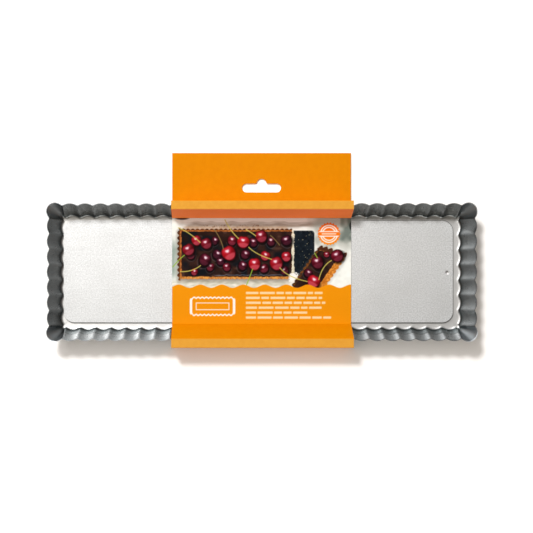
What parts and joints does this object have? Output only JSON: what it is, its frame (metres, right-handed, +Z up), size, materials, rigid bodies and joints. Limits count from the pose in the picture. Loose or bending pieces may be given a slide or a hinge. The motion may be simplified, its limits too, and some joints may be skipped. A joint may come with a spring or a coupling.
{
  "type": "tart pan",
  "caption": "Long rectangular fluted tart pan with a flared wall and a lift-out flat bottom, in a folded card sleeve with a hanging header.",
  "frame": {"origin": "middle of the pan on the surface that it rests on, at the underside of the sleeve's back panel", "axes": "+X along the pan's length, +Y towards the sleeve's hanging header, +Z up out of the open pan"},
  "size_m": [0.3512, 0.1611, 0.0267],
  "materials": {
    "tinned_ring": "satin",
    "tinned_bottom": "satin",
    "printed_card": "satin"
  },
  "bodies": {
    "pan_ring": {"fluted_ring": "tinned_ring"},
    "loose_bottom": {"loose_bottom_plate": "tinned_bottom"},
    "sleeve_back": {"sleeve_back_panel": "printed_card", "sleeve_lower_wall": "printed_card", "sleeve_lower_rim_strip": "printed_card"},
    "sleeve_front": {"sleeve_lower_slope": "printed_card", "sleeve_front_panel": "printed_card", "sleeve_upper_slope": "printed_card", "sleeve_upper_rim_strip": "printed_card", "sleeve_upper_wall": "printed_card", "sleeve_header_front": "printed_card"}
  },
  "joints": [
    {"name": "bottom_lift", "type": "slide", "parent": "pan_ring", "child": "loose_bottom", "axis": [0, 0, 1], "range_m": [0, 0.042]},
    {"name": "sleeve_slide", "type": "slide", "parent": "pan_ring", "child": "sleeve_back", "axis": [1, 0, 0], "range_m": [-0.085, 0.085]},
    {"name": "sleeve_opening", "type": "hinge", "parent": "sleeve_back", "child": "sleeve_front", "pos_m": [0.0005, -0.0535, 0.0264], "axis": [1, 0, 0], "range_deg": [0, 190]}
  ],
  "couplings": [
    {"joint": "sleeve_opening", "follows": "bottom_lift", "rad_per_m": 78.9}
  ]
}
